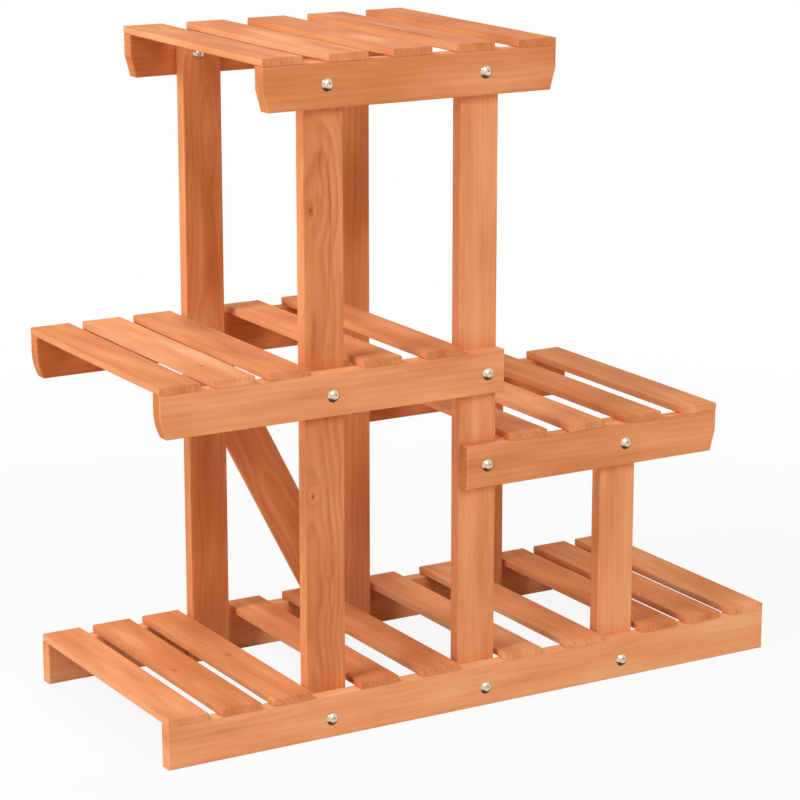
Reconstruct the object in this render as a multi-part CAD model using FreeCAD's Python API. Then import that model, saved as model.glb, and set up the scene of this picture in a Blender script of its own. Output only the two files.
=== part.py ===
"""Tiered plant stand of slatted shelves on bolted posts.

Millimetres. +X runs along the stand from the left shelf to the right one, +Y to the back, +Z up.
The origin is on the floor, under the middle of the whole stand.

Three pairs of posts stand between a front and a back layer of rails. One bolt with a sleeve nut
holds every crossing of a rail and a post. Slats lie across each pair of rails and are nailed down.
A flat brace stiffens the back: it shares the bolts at its two ends.
"""

import FreeCAD, Part
import math
import os
from collections import namedtuple

os.makedirs("parts", exist_ok=True)

# ---- plan of the wooden frame ----
LEFT_SPACING = 173.9        # between the centre lines of the left and the middle posts
RIGHT_SPACING = 171.4       # and of the middle and the right ones
FRAME_DEPTH = 297.5         # outer face of the front rails to outer face of the back rails

# ---- how far the rails of each shelf go past the outer faces of its end posts ----
BOTTOM_LEFT_OVERHANG = 160.0
BOTTOM_RIGHT_OVERHANG = 161.7
LEFT_SHELF_OVERHANG = 162.0
LEFT_SHELF_PAST_POST = 0.4  # at its right end, where it stops at the middle posts
RIGHT_SHELF_INSET = 0.5     # at its left end, inside the left face of the middle posts
RIGHT_SHELF_OVERHANG = 91.7
TOP_LEFT_OVERHANG = 50.7
TOP_RIGHT_OVERHANG = 56.9

# ---- underside of each pair of rails above the floor ----
BOTTOM_LEVEL = 0.0
LEFT_LEVEL = 327.0
RIGHT_LEVEL = 231.0
TOP_LEVEL = 625.2

# ---- board stock ----
RAIL_HEIGHT = 43.5
RAIL_THICKNESS = 15.0
POST_WIDTH = 43.0
POST_THICKNESS = 15.0
SLAT_WIDTH = 43.0
SLAT_THICKNESS = 7.5
BRACE_WIDTH = 48.5
BRACE_THICKNESS = 7.5
EDGE_EASE = 0.8             # every long edge is planed off this much

# ---- shaped rail ends ----
END_CUT_RUN = 6.0           # straight cut under a rail's end: how far in along the bottom edge
END_CUT_RISE = 21.8         # and how far up the end
ROUND_END_RADIUS = 57.0     # rounded end of the left shelf's rails
ROUND_END_RISE = 27.0

# ---- where the bolts go through ----
BOTTOM_BOLT_HEIGHT = 18.8   # bolt line above the underside of its rail, tier by tier
LEFT_BOLT_HEIGHT = 20.4
RIGHT_BOLT_HEIGHT = 22.6
TOP_BOLT_HEIGHT = 22.4
BOTTOM_BOLT_SHIFTS = (-2.0, 2.9, -0.7)   # each bolt's place right of its post's centre line
LEFT_BOLT_SHIFTS = (1.2, 2.9)
RIGHT_BOLT_SHIFTS = (2.9, -0.7)
TOP_BOLT_SHIFTS = (-3.4, -2.3)

# ---- slats in each bay ----
END_SLATS = 3               # bottom and left shelves, beyond the outer posts
POST_BAY_SLATS = 2          # bottom and left shelves, between two posts
RIGHT_SHELF_SLATS = 4
TOP_SHELF_SLATS = 5

# ---- clearances of the slats ----
END_INSET = 0.5             # an end slat's edge inside the end of its rail
LEFT_POST_SLOT = 2.3        # bottom shelf: slat to the left face of the left post
LEFT_BAY_START = 9.5        # bottom shelf, between left and middle posts
LEFT_BAY_END = 7.9
MIDDLE_BAY_START = 5.3      # bottom shelf, between middle and right posts
MIDDLE_BAY_END = 5.1
RIGHT_POST_SLOT = 4.7       # bottom shelf: right face of the right post to the next slat
LEFT_SHELF_POST_SLOT = 4.4  # left shelf: slat to the left face of the left post
LEFT_SHELF_BAY_START = 13.1
LEFT_SHELF_BAY_END = 4.9
RIGHT_SHELF_POST_SLOT = 9.5

# ---- bolts and sleeve nuts ----
HEAD_DIAMETER = 13.0
HEAD_HEIGHT = 3.2
HEAD_BEVEL = 1.9            # width of the bevel round the head's top
HEAD_SIDES = 12             # heads and shanks repeat often, so they are faceted, not round
SHANK_SIDES = 8
BOLT_DIAMETER = 6.0
BOLT_LENGTH = 27.0          # under the head; the brace's two bolts are longer by its thickness
BOLT_CLEARANCE = 0.3        # round the bolt in the rail and in the brace
SLEEVE_DIAMETER = 8.0
SLEEVE_LENGTH = 12.0        # under the nut's head, inside the post
SLEEVE_BORE_DEPTH = 11.5
SLEEVE_CLEARANCE = 0.1      # round the sleeve in the post
THREAD_CLEARANCE = 0.05     # between the bolt and the sleeve's bore

# ---- brads that hold the slats ----
BRAD_THICKNESS = 1.0
BRAD_WIDTH = 1.3
BRAD_LENGTH = 20.0

# ---- the brace's place ----
BRACE_FOOT_SHIFT = 6.0      # its centre line passes this far left of its lower bolt
BRACE_END_MARGIN = 2.0      # its ends stop this far inside the rails' edges

# ---- places that follow from the sizes above ----
LEFT_REACH = max(BOTTOM_LEFT_OVERHANG, LEFT_SHELF_OVERHANG) + POST_WIDTH / 2
RIGHT_REACH = max(BOTTOM_RIGHT_OVERHANG, RIGHT_SHELF_OVERHANG) + POST_WIDTH / 2
STAND_LENGTH = LEFT_REACH + LEFT_SPACING + RIGHT_SPACING + RIGHT_REACH
STAND_DEPTH = FRAME_DEPTH + BRACE_THICKNESS + 2 * HEAD_HEIGHT
LEFT_LINE = LEFT_REACH - STAND_LENGTH / 2       # centre line of the left posts
MIDDLE_LINE = LEFT_LINE + LEFT_SPACING
RIGHT_LINE = MIDDLE_LINE + RIGHT_SPACING
POST_LINES = {"left": LEFT_LINE, "middle": MIDDLE_LINE, "right": RIGHT_LINE}
Y_FRONT = HEAD_HEIGHT - STAND_DEPTH / 2         # outer face of the front rails
Y_BACK = Y_FRONT + FRAME_DEPTH                  # outer face of the back rails

Tier = namedtuple("Tier", "name rail_left rail_right level left_end right_end bolts bays")
Side = namedtuple("Side", "name outer inward")
Bolt = namedtuple("Bolt", "x z post")
Bay = namedtuple("Bay", "slats left right")

BACKWARD = FreeCAD.Vector(0, 1, 0)
UP = FreeCAD.Vector(0, 0, 1)
PARALLEL = 1e-6             # sine of the largest angle between edges that count as parallel
FULL_TURN = 360

# A side of the frame: its outer face, and the direction into the wood.
SIDES = (Side("front", Y_FRONT, 1), Side("back", Y_BACK, -1))


def post_left(post):
    """Left face of a pair of posts."""
    return POST_LINES[post] - POST_WIDTH / 2


def post_right(post):
    """Right face of a pair of posts."""
    return POST_LINES[post] + POST_WIDTH / 2


def bolt_places(level, height, shifts, posts):
    """The bolts of one rail, one at each post that it crosses."""
    return [Bolt(POST_LINES[post] + shift, level + height, post) for post, shift in zip(posts, shifts)]


def bottom_tier():
    """The long shelf on the floor, which passes all three pairs of posts."""
    left = post_left("left") - BOTTOM_LEFT_OVERHANG
    right = post_right("right") + BOTTOM_RIGHT_OVERHANG
    bays = (
        Bay(END_SLATS, left + END_INSET, post_left("left") - LEFT_POST_SLOT),
        Bay(POST_BAY_SLATS, post_right("left") + LEFT_BAY_START, post_left("middle") - LEFT_BAY_END),
        Bay(POST_BAY_SLATS, post_right("middle") + MIDDLE_BAY_START, post_left("right") - MIDDLE_BAY_END),
        Bay(END_SLATS, post_right("right") + RIGHT_POST_SLOT, right - END_INSET),
    )
    bolts = bolt_places(BOTTOM_LEVEL, BOTTOM_BOLT_HEIGHT, BOTTOM_BOLT_SHIFTS, POST_LINES)
    return Tier("bottom", left, right, BOTTOM_LEVEL, "square", "square", bolts, bays)


def left_tier():
    """The left shelf, from beyond the left posts to just past the middle ones."""
    left = post_left("left") - LEFT_SHELF_OVERHANG
    right = post_right("middle") + LEFT_SHELF_PAST_POST
    bay_left = post_right("left") + LEFT_SHELF_BAY_START
    bays = (
        Bay(END_SLATS, left, post_left("left") - LEFT_SHELF_POST_SLOT),
        Bay(POST_BAY_SLATS, bay_left, post_left("middle") - LEFT_SHELF_BAY_END),
    )
    bolts = bolt_places(LEFT_LEVEL, LEFT_BOLT_HEIGHT, LEFT_BOLT_SHIFTS, ("left", "middle"))
    return Tier("left_shelf", left, right, LEFT_LEVEL, "round", "square", bolts, bays)


def right_tier():
    """The right shelf, from the middle posts to beyond the right ones, whose tops it covers."""
    left = post_left("middle") + RIGHT_SHELF_INSET
    right = post_right("right") + RIGHT_SHELF_OVERHANG
    bays = (Bay(RIGHT_SHELF_SLATS, post_right("middle") + RIGHT_SHELF_POST_SLOT, right),)
    bolts = bolt_places(RIGHT_LEVEL, RIGHT_BOLT_HEIGHT, RIGHT_BOLT_SHIFTS, ("middle", "right"))
    return Tier("right_shelf", left, right, RIGHT_LEVEL, "square", "cut", bolts, bays)


def top_tier():
    """The top shelf, which covers the tops of the left and middle posts."""
    left = post_left("left") - TOP_LEFT_OVERHANG
    right = post_right("middle") + TOP_RIGHT_OVERHANG
    bays = (Bay(TOP_SHELF_SLATS, left, right - END_INSET),)
    bolts = bolt_places(TOP_LEVEL, TOP_BOLT_HEIGHT, TOP_BOLT_SHIFTS, ("left", "middle"))
    return Tier("top_shelf", left, right, TOP_LEVEL, "cut", "cut", bolts, bays)


def point(x, z, y=0.0):
    """A point, given along the stand and up."""
    return FreeCAD.Vector(x, y, z)


def slots(bay):
    """Left edges of a bay's slats, spread evenly from its left limit to its right one."""
    pitch = (bay.right - bay.left - SLAT_WIDTH) / (bay.slats - 1)
    return [bay.left + number * pitch for number in range(bay.slats)]


def eased(board, direction):
    """A board with the sharp edges that run along one direction planed off."""
    edges = [edge for edge in board.Edges
             if edge.tangentAt(edge.FirstParameter).cross(direction).Length < PARALLEL]
    return board.makeChamfer(EDGE_EASE, edges)


def eased_outline(board):
    """A flat board standing in XZ, with the outlines of its front and back faces planed off."""
    edges = []
    for face in board.Faces:
        if face.normalAt(0, 0).cross(BACKWARD).Length < PARALLEL:
            edges.extend(face.Edges)
    return board.makeChamfer(EDGE_EASE, edges)


def drilled(board, bolts, radius, y_from, y_to):
    """A board with a round hole for each bolt, from one depth to another."""
    for bolt in bolts:
        start = point(bolt.x, bolt.z, y_from)
        hole = Part.makeCylinder(radius, y_to - y_from, start, BACKWARD)
        board = board.cut(hole)
    return board


def end_path(x, inward, low, high, shape):
    """Edges of one rail end from its bottom corner up to its top corner.

    inward is 1 at a left end and -1 at a right one.
    """
    top = point(x, high)
    if shape == "square":
        return [Part.LineSegment(point(x, low), top).toShape()]
    if shape == "cut":
        corner = point(x, low + END_CUT_RISE)
        foot = point(x + inward * END_CUT_RUN, low)
        return [Part.LineSegment(foot, corner).toShape(), Part.LineSegment(corner, top).toShape()]
    return round_end_path(x, inward, low, top)


def round_end_path(x, inward, low, top):
    """The end whose lower corner is one large arc that starts straight down the end."""
    half_turn = math.asin(ROUND_END_RISE / ROUND_END_RADIUS) / 2

    def on_arc(turn):
        run = ROUND_END_RADIUS * (1 - math.cos(turn))
        drop = ROUND_END_RADIUS * math.sin(turn)
        return point(x + inward * run, low + ROUND_END_RISE - drop)

    foot = on_arc(2 * half_turn)
    shoulder = on_arc(0.0)
    arc = Part.Arc(foot, on_arc(half_turn), shoulder).toShape()
    return [arc, Part.LineSegment(shoulder, top).toShape()]


def ends_of(edges):
    """Bottom and top points of a rail end's path, whichever way its edges were stored."""
    points = sorted((vertex.Point for edge in edges for vertex in edge.Vertexes), key=lambda p: p.z)
    return points[0], points[-1]


def rail(tier, side):
    """One rail: its shaped outline, eased, with a clearance hole at every post."""
    high = tier.level + RAIL_HEIGHT
    left = end_path(tier.rail_left, 1, tier.level, high, tier.left_end)
    right = end_path(tier.rail_right, -1, tier.level, high, tier.right_end)
    (left_foot, left_top), (right_foot, right_top) = ends_of(left), ends_of(right)
    bottom = Part.LineSegment(left_foot, right_foot).toShape()
    top = Part.LineSegment(left_top, right_top).toShape()
    wire = Part.Wire(Part.__sortEdges__(left + [top] + right + [bottom]))
    near = min(side.outer, side.outer + side.inward * RAIL_THICKNESS)
    face = Part.Face(wire).translated(BACKWARD * near)
    board = eased_outline(face.extrude(BACKWARD * RAIL_THICKNESS))
    radius = BOLT_DIAMETER / 2 + BOLT_CLEARANCE
    board = drilled(board, tier.bolts, radius, near, near + RAIL_THICKNESS)
    return nailed(board, brad_lines(tier), [side], tier)


def post_height(post, tiers):
    """Posts reach the underside of the highest slats that they carry."""
    levels = [tier.level for tier in tiers for bolt in tier.bolts if bolt.post == post]
    return max(levels) + RAIL_HEIGHT


def post_board(post, side, tiers):
    """One post: a plain board against the inner faces of its rails, drilled for the sleeves."""
    outer = side.outer + side.inward * RAIL_THICKNESS
    near = min(outer, outer + side.inward * POST_THICKNESS)
    corner = point(post_left(post), 0.0, near)
    board = Part.makeBox(POST_WIDTH, POST_THICKNESS, post_height(post, tiers), corner)
    board = eased(board, UP)
    bolts = [bolt for tier in tiers for bolt in tier.bolts if bolt.post == post]
    radius = SLEEVE_DIAMETER / 2 + SLEEVE_CLEARANCE
    return drilled(board, bolts, radius, near, near + POST_THICKNESS)


def slat(left, tier):
    """One slat across the two rails, with its ends flush with their outer faces."""
    under = tier.level + RAIL_HEIGHT
    board = Part.makeBox(SLAT_WIDTH, FRAME_DEPTH, SLAT_THICKNESS, point(left, under, Y_FRONT))
    return nailed(eased(board, BACKWARD), [left + SLAT_WIDTH / 2], SIDES, tier)


def brad_lines(tier):
    """Places along the stand of one shelf's brads, in the middle of each slat."""
    return [left + SLAT_WIDTH / 2 for bay in tier.bays for left in slots(bay)]


def brad(x, side, tier):
    """A headless brad of flat wire, driven flush with a slat down the middle of its rail."""
    middle = side.outer + side.inward * RAIL_THICKNESS / 2
    tip = tier.level + RAIL_HEIGHT + SLAT_THICKNESS - BRAD_LENGTH
    corner = point(x - BRAD_WIDTH / 2, tip, middle - BRAD_THICKNESS / 2)
    return Part.makeBox(BRAD_WIDTH, BRAD_THICKNESS, BRAD_LENGTH, corner)


def nailed(board, places, sides, tier):
    """A board with the slot of each brad that goes into it."""
    for side in sides:
        for x in places:
            board = board.cut(brad(x, side, tier))
    return board


def prism(sides, diameter, low, high):
    """An upright bar with flat sides whose corners lie on a circle about the Z axis."""
    spokes = [FULL_TURN * number / sides for number in range(sides + 1)]
    corner = point(diameter / 2, low)
    wire = Part.makePolygon([FreeCAD.Rotation(UP, spoke).multVec(corner) for spoke in spokes])
    return Part.Face(wire).extrude(UP * (high - low))


def head():
    """A bevelled head that sits on z = 0."""
    bar = prism(HEAD_SIDES, HEAD_DIAMETER, 0, HEAD_HEIGHT)
    top = max(bar.Faces, key=lambda face: face.CenterOfMass.z)
    return bar.makeChamfer(HEAD_BEVEL, top.Edges)


def bolt_solid(length):
    """A bolt with its head on z = 0 and its shank down."""
    shank = prism(SHANK_SIDES, BOLT_DIAMETER - 2 * THREAD_CLEARANCE, -length, 0)
    return shank.fuse(head())


def sleeve_solid():
    """A sleeve nut with its head on z = 0 and its bored sleeve down."""
    sleeve = prism(SHANK_SIDES, SLEEVE_DIAMETER, -SLEEVE_LENGTH, 0)
    bore = prism(SHANK_SIDES, BOLT_DIAMETER, -SLEEVE_LENGTH, SLEEVE_BORE_DEPTH - SLEEVE_LENGTH)
    return sleeve.cut(bore).fuse(head())


def placed(solid, x, y, z, outward):
    """A turned fastener set on a face, with its head pointing to -Y or +Y."""
    rotation = FreeCAD.Rotation(UP, BACKWARD * outward)
    fastener = solid.copy()
    fastener.Placement = FreeCAD.Placement(FreeCAD.Vector(x, y, z), rotation)
    return fastener


def braced(bolt, side, ends):
    """Whether a bolt also holds the brace."""
    return side.name == "back" and (bolt in ends)


def brace_ends(tiers):
    """The brace's two bolts: left post at the left shelf, and middle post at the bottom."""
    upper = next(bolt for bolt in tiers["left_shelf"].bolts if bolt.post == "left")
    lower = next(bolt for bolt in tiers["bottom"].bolts if bolt.post == "middle")
    return upper, lower


def brace(tiers):
    """The diagonal board outside the back rails, with both ends cut level."""
    upper, lower = brace_ends(tiers)
    slope = (lower.x - BRACE_FOOT_SHIFT - upper.x) / (upper.z - lower.z)
    half = BRACE_WIDTH / 2 / math.cos(math.atan(slope))
    high = LEFT_LEVEL + RAIL_HEIGHT - BRACE_END_MARGIN
    low = BOTTOM_LEVEL + BRACE_END_MARGIN
    head = upper.x - (high - upper.z) * slope
    foot = upper.x + (upper.z - low) * slope
    outline = [(head - half, high), (head + half, high), (foot + half, low), (foot - half, low)]
    outline.append(outline[0])
    wire = Part.makePolygon([point(x, z, Y_BACK) for x, z in outline])
    board = eased_outline(Part.Face(wire).extrude(BACKWARD * BRACE_THICKNESS))
    radius = BOLT_DIAMETER / 2 + BOLT_CLEARANCE
    return drilled(board, (upper, lower), radius, Y_BACK, Y_BACK + BRACE_THICKNESS)


def fasteners(tiers):
    """The plain bolts, the brace's longer bolts, and the sleeve nuts, each a group of solids."""
    ends = brace_ends(tiers)
    plain = bolt_solid(BOLT_LENGTH)
    long = bolt_solid(BOLT_LENGTH + BRACE_THICKNESS)
    nut = sleeve_solid()
    groups = {"frame_bolts": [], "brace_bolts": [], "sleeve_nuts": []}
    inner = RAIL_THICKNESS + POST_THICKNESS
    for side in SIDES:
        for bolt in [bolt for tier in tiers.values() for bolt in tier.bolts]:
            outward = -side.inward
            if braced(bolt, side, ends):
                rear = side.outer + outward * BRACE_THICKNESS
                groups["brace_bolts"].append(placed(long, bolt.x, rear, bolt.z, outward))
            else:
                groups["frame_bolts"].append(placed(plain, bolt.x, side.outer, bolt.z, outward))
            nut_face = side.outer + side.inward * inner
            groups["sleeve_nuts"].append(placed(nut, bolt.x, nut_face, bolt.z, side.inward))
    return {name: Part.makeCompound(solids) for name, solids in groups.items()}


def tier_brads(tier):
    """All the brads of one shelf."""
    return Part.makeCompound([brad(x, side, tier) for side in SIDES for x in brad_lines(tier)])


def tier_nodes(tier):
    """Both rails, the slats and the brads of one shelf."""
    nodes = {}
    for side in SIDES:
        nodes["%s_%s_rail" % (tier.name, side.name)] = rail(tier, side)
    lefts = [left for bay in tier.bays for left in slots(bay)]
    for number, left in enumerate(lefts, start=1):
        nodes["%s_slat_%02d" % (tier.name, number)] = slat(left, tier)
    nodes["%s_brads" % tier.name] = tier_brads(tier)
    return nodes


def build():
    """Every piece of the stand by name."""
    tiers = {tier.name: tier for tier in (bottom_tier(), left_tier(), right_tier(), top_tier())}
    nodes = {}
    for side in SIDES:
        for post in POST_LINES:
            nodes["%s_%s_post" % (side.name, post)] = post_board(post, side, tiers.values())
    for tier in tiers.values():
        nodes.update(tier_nodes(tier))
    nodes["back_brace"] = brace(tiers)
    nodes.update(fasteners(tiers))
    return nodes


for node, shape in build().items():
    shape.exportStep("parts/%s.step" % node)
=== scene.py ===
"""Looks of a tiered plant stand: stained softwood boards, plated bolts and a pale studio."""

import logging
import math
import random
from dataclasses import dataclass, replace
from enum import Enum
from typing import Any, Callable

import bmesh
import bpy
from mathutils import Euler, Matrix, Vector


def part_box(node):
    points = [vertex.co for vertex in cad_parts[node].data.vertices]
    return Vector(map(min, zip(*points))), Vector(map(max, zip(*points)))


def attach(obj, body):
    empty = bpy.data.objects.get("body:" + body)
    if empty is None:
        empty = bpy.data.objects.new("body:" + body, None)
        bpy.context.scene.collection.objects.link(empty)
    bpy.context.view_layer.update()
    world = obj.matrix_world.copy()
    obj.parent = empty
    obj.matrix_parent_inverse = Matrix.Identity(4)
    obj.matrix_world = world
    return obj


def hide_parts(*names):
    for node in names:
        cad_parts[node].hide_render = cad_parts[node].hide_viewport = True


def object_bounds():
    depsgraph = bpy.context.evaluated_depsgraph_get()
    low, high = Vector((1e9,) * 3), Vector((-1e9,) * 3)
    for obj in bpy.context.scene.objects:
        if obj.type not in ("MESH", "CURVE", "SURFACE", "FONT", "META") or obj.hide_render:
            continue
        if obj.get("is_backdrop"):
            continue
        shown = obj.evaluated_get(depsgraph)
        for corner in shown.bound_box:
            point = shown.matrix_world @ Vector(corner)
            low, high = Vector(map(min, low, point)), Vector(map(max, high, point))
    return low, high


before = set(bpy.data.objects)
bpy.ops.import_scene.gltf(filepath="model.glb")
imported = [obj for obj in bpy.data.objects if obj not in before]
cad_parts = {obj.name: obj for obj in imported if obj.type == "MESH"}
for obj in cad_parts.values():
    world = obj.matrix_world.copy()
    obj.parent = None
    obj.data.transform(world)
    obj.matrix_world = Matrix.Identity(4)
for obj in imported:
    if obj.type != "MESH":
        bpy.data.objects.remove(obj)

BODY = "root"
MM = 0.001
WHITE = (1.0, 1.0, 1.0, 1.0)

Socket = bpy.types.NodeSocket
Feed = Any  # a socket, or a plain value for one
Place = tuple[Feed, Feed, Feed]  # along, across and through a board, in millimetres

log = logging.getLogger("plant_stand")


# ---------------------------------------------------------------------------
# Node helper
# ---------------------------------------------------------------------------
class Nodes:
    """A short way to write the nodes of one material or world."""

    def __init__(self, owner: bpy.types.Material | bpy.types.World) -> None:
        """Empties the node tree of a material or world.

        Args:
            owner: what the nodes belong to.
        """
        self.owner = owner
        owner.use_nodes = True
        self.tree = owner.node_tree
        self.tree.nodes.clear()

    def add(self, kind: str, inputs: dict[str | int, Feed] | None = None,
            **settings: Any) -> bpy.types.Node:
        """Adds one node.

        Args:
            kind: the node's type name, without its leading "ShaderNode".
            inputs: what feeds its inputs, by their names or numbers.
            **settings: properties to set on it.

        Returns:
            The new node.
        """
        node = self.tree.nodes.new("ShaderNode" + kind)
        for key, value in settings.items():
            setattr(node, key, value)
        for key, value in (inputs or {}).items():
            self.feed(node.inputs[key], value)
        return node

    def feed(self, socket: Socket, value: Feed) -> None:
        """Links a socket to another one, or sets its value.

        Args:
            socket: the input to feed.
            value: an output socket, or a plain value.
        """
        if isinstance(value, Socket):
            self.tree.links.new(value, socket)
        else:
            socket.default_value = value

    def math(self, operation: str, *values: Feed) -> Socket:
        """Adds a Math node.

        Args:
            operation: its operation, such as MULTIPLY.
            *values: sockets or numbers for its inputs.

        Returns:
            The result's socket.
        """
        node = self.add("Math", operation=operation)
        for socket, value in zip(node.inputs, values):
            self.feed(socket, value)
        return node.outputs[0]

    def sway(self, base: Feed, number: Feed, strength: Feed, middle: float = 0.5) -> Socket:
        """Moves a value up and down with a number.

        Args:
            base: the value.
            number: the number.
            strength: how far the value moves for each unit of the number.
            middle: the number at which the value stays as it is.

        Returns:
            The moved value.
        """
        return self.math("MULTIPLY_ADD", self.math("SUBTRACT", number, middle), strength, base)

    def reach(self, first: Feed, second: Feed) -> Socket:
        """Finds the length of a line from its run in two directions.

        Args:
            first: how far it runs in one direction.
            second: how far it runs across that.

        Returns:
            The length.
        """
        squares = (self.math("MULTIPLY", first, first), self.math("MULTIPLY", second, second))
        return self.math("SQRT", self.math("ADD", *squares))

    def oval(self, spot: tuple[Feed, Feed], middle: tuple[float, float],
             half: tuple[float, float]) -> Socket:
        """Finds how far a spot is from the middle of an oval.

        Args:
            spot: the spot, along and across.
            middle: the oval's middle.
            half: half its length and half its width.

        Returns:
            The distance, which is 1 at the oval's edge.
        """
        return self.reach(*(self.math("DIVIDE", self.math("SUBTRACT", here, there), size)
                            for here, there, size in zip(spot, middle, half)))

    def vector(self, *parts: Feed) -> Socket:
        """Joins three parts into a vector.

        Args:
            *parts: three numbers or sockets.

        Returns:
            The vector's socket.
        """
        node = self.add("CombineXYZ")
        for socket, value in zip(node.inputs, parts):
            self.feed(socket, value)
        return node.outputs[0]

    def parts(self, vector: Feed) -> tuple[Socket, ...]:
        """Splits a vector.

        Args:
            vector: the vector, or a colour.

        Returns:
            Its three parts.
        """
        return tuple(self.add("SeparateXYZ", {0: vector}).outputs)

    def noise(self, place: Feed, detail: float) -> bpy.types.Node:
        """Adds soft noise with features about one unit wide.

        Args:
            place: where to read it.
            detail: how many finer layers it has.

        Returns:
            The node. Its first output is a number round 0.5, and its second is three of them.
        """
        return self.add("TexNoise", {"Vector": place, "Scale": 1.0, "Detail": detail})

    def speckle(self, fine: float, detail: float) -> Socket:
        """Adds fine noise all over a piece.

        Args:
            fine: how many features it has to a metre.
            detail: how many finer layers it has.

        Returns:
            A number round 0.5.
        """
        spot = self.add("TexCoord").outputs["Object"]
        scaled = self.add("Mapping", {"Vector": spot, "Scale": (fine, fine, fine)})
        return self.noise(scaled.outputs[0], detail).outputs[0]

    def relief(self, height: Feed, strength: float, depth: float) -> Socket:
        """Turns a height into a fine relief.

        Args:
            height: the height.
            strength: how much of the relief shows.
            depth: how deep it is, in metres.

        Returns:
            The direction that the surface faces.
        """
        inputs = {"Strength": strength, "Distance": depth, "Height": height}
        return self.add("Bump", inputs).outputs[0]

    def ramp(self, value: Feed, low: Feed, high: Feed, low_to: float = 0.0,
             high_to: float = 1.0) -> Socket:
        """Eases a number from one range into another, and holds it beyond both ends.

        Args:
            value: the number.
            low: where the result starts to leave low_to.
            high: where it reaches high_to.
            low_to: the result below low.
            high_to: the result above high.

        Returns:
            The result's socket.
        """
        node = self.add("MapRange", interpolation_type="SMOOTHSTEP")
        for socket, part in zip(node.inputs, (value, low, high, low_to, high_to)):
            self.feed(socket, part)
        return node.outputs[0]

    def blend(self, factor: Feed, first: Feed, second: Feed) -> Socket:
        """Mixes two colours.

        Args:
            factor: how much of the second shows.
            first: a colour or socket.
            second: a colour or socket.

        Returns:
            The result's socket.
        """
        node = self.add("Mix", data_type="RGBA")
        colours = [socket for socket in node.inputs if socket.type == "RGBA"]
        for socket, value in zip([node.inputs["Factor"]] + colours, (factor, first, second)):
            self.feed(socket, value)
        return next(socket for socket in node.outputs if socket.type == "RGBA")

    def finish(self, shader: Socket,
               output: str = "OutputMaterial") -> bpy.types.Material | bpy.types.World:
        """Joins a shader to the output.

        Args:
            shader: the shader's socket.
            output: the output's node type, without its leading "ShaderNode".

        Returns:
            The material or world.
        """
        self.add(output, {"Surface": shader})
        return self.owner


def linear(red: int, green: int, blue: int) -> tuple[float, float, float, float]:
    """Turns a screen colour into the linear one that shaders take.

    Args:
        red: 0 to 255.
        green: 0 to 255.
        blue: 0 to 255.

    Returns:
        Red, green, blue and an alpha of 1.
    """
    def curve(value: float) -> float:
        """One channel of the standard screen curve."""
        return value / 12.92 if value <= 0.04045 else ((value + 0.055) / 1.055) ** 2.4

    return (curve(red / 255), curve(green / 255), curve(blue / 255), 1.0)


# ---------------------------------------------------------------------------
# Wood
# ---------------------------------------------------------------------------
class Run(Enum):
    """Which way a board runs: its length, its width and its thickness follow in this order."""

    ALONG_STAND = "rail"
    ACROSS_STAND = "slat"
    UPRIGHT = "post"
    SLOPING = "brace"


class Sawn(Enum):
    """How a board was cut from the log, which sets the figure on its wide faces."""

    FLAT = "arches"
    RIFT = "drifting lines"
    QUARTER = "straight lines"


@dataclass(frozen=True)
class Knot:
    """A small knot that goes through a board.

    Args:
        along: its place along the board from the middle, in millimetres.
        across: its place across the board from the middle, in millimetres.
        radius: its radius in millimetres.
        depth: how dark it is, from 0 to 1.
    """

    along: float
    across: float
    radius: float
    depth: float = 0.75


@dataclass(frozen=True)
class Patch:
    """A soft patch or streak where the wood is paler or deeper: stain on most boards, painted shade
    on the back posts.

    Args:
        along: the place of its middle along the board from the board's middle, in millimetres.
        across: its place across the board.
        length: half its length.
        width: half its width.
        tone: how much paler it is.
    """

    along: float
    across: float
    length: float
    width: float
    tone: float


#: The lowest and highest value of each measure of Heart, and whether it may be on either side.
HEART_RANGES: dict[Sawn, tuple[tuple[float, float, bool], ...]] = {
    Sawn.FLAT: ((-10, 10, False), (16, 34, True), (-0.012, 0.012, False), (0.02, 0.045, True)),
    Sawn.RIFT: ((48, 75, True), (30, 60, False), (-0.012, 0.012, False), (-0.01, 0.01, False)),
    Sawn.QUARTER: ((70, 110, True), (-12, 12, False), (-0.008, 0.008, False),
                   (-0.006, 0.006, False)),
}


@dataclass(frozen=True)
class Heart:
    """Where the middle of the tree lay, seen from a board, in millimetres.

    Args:
        across: beside the board's middle.
        below: under the board's middle.
        lean_across: how far it drifts sideways for each millimetre along the board.
        lean_below: how far it drifts away for each millimetre along the board.
    """

    across: float
    below: float
    lean_across: float
    lean_below: float

    @classmethod
    def by_chance(cls, sawn: Sawn, dice: random.Random) -> "Heart":
        """Places the middle of the tree for one board.

        Args:
            sawn: how the board was cut.
            dice: the board's own random numbers.

        Returns:
            The place.
        """
        side = dice.choice((-1, 1))
        return cls(*((side if either_side else 1) * dice.uniform(low, high)
                     for low, high, either_side in HEART_RANGES[sawn]))


class Tone(Enum):
    """How deep the stain looks on a board, in steps of the stain's own scale. Higher is paler."""

    PALE = 0.33
    LIGHT = 0.15
    PLAIN = 0.0
    MILD = -0.1
    WARM = -0.2
    DEEP = -0.4
    # Painted shade: the tone of back rails whose inner faces lie in shade under the slats.
    PAINTED_SHADE = -0.62


@dataclass(frozen=True)
class Cut:
    """What one board shows of its wood.

    Args:
        sawn: how it was cut from the log.
        tone: how deep its stain looks.
        figure: how strongly its grain shows.
        knots: the knots in it.
        heart: where the middle of the tree lay, or None to place it by chance.
        painted_side_light: how much paler its narrow sides are; painted light that stands in for
            the light from the left falling on them.
        patches: where it is paler or deeper: stain, and on the back posts painted shade.
        end_tone: how much paler its ends are.
    """

    sawn: Sawn = Sawn.RIFT
    tone: Tone = Tone.PLAIN
    figure: float = 0.13
    knots: tuple[Knot, ...] = ()
    heart: Heart | None = None
    painted_side_light: float = 0.3
    patches: tuple[Patch, ...] = ()
    end_tone: float = -0.08


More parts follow.
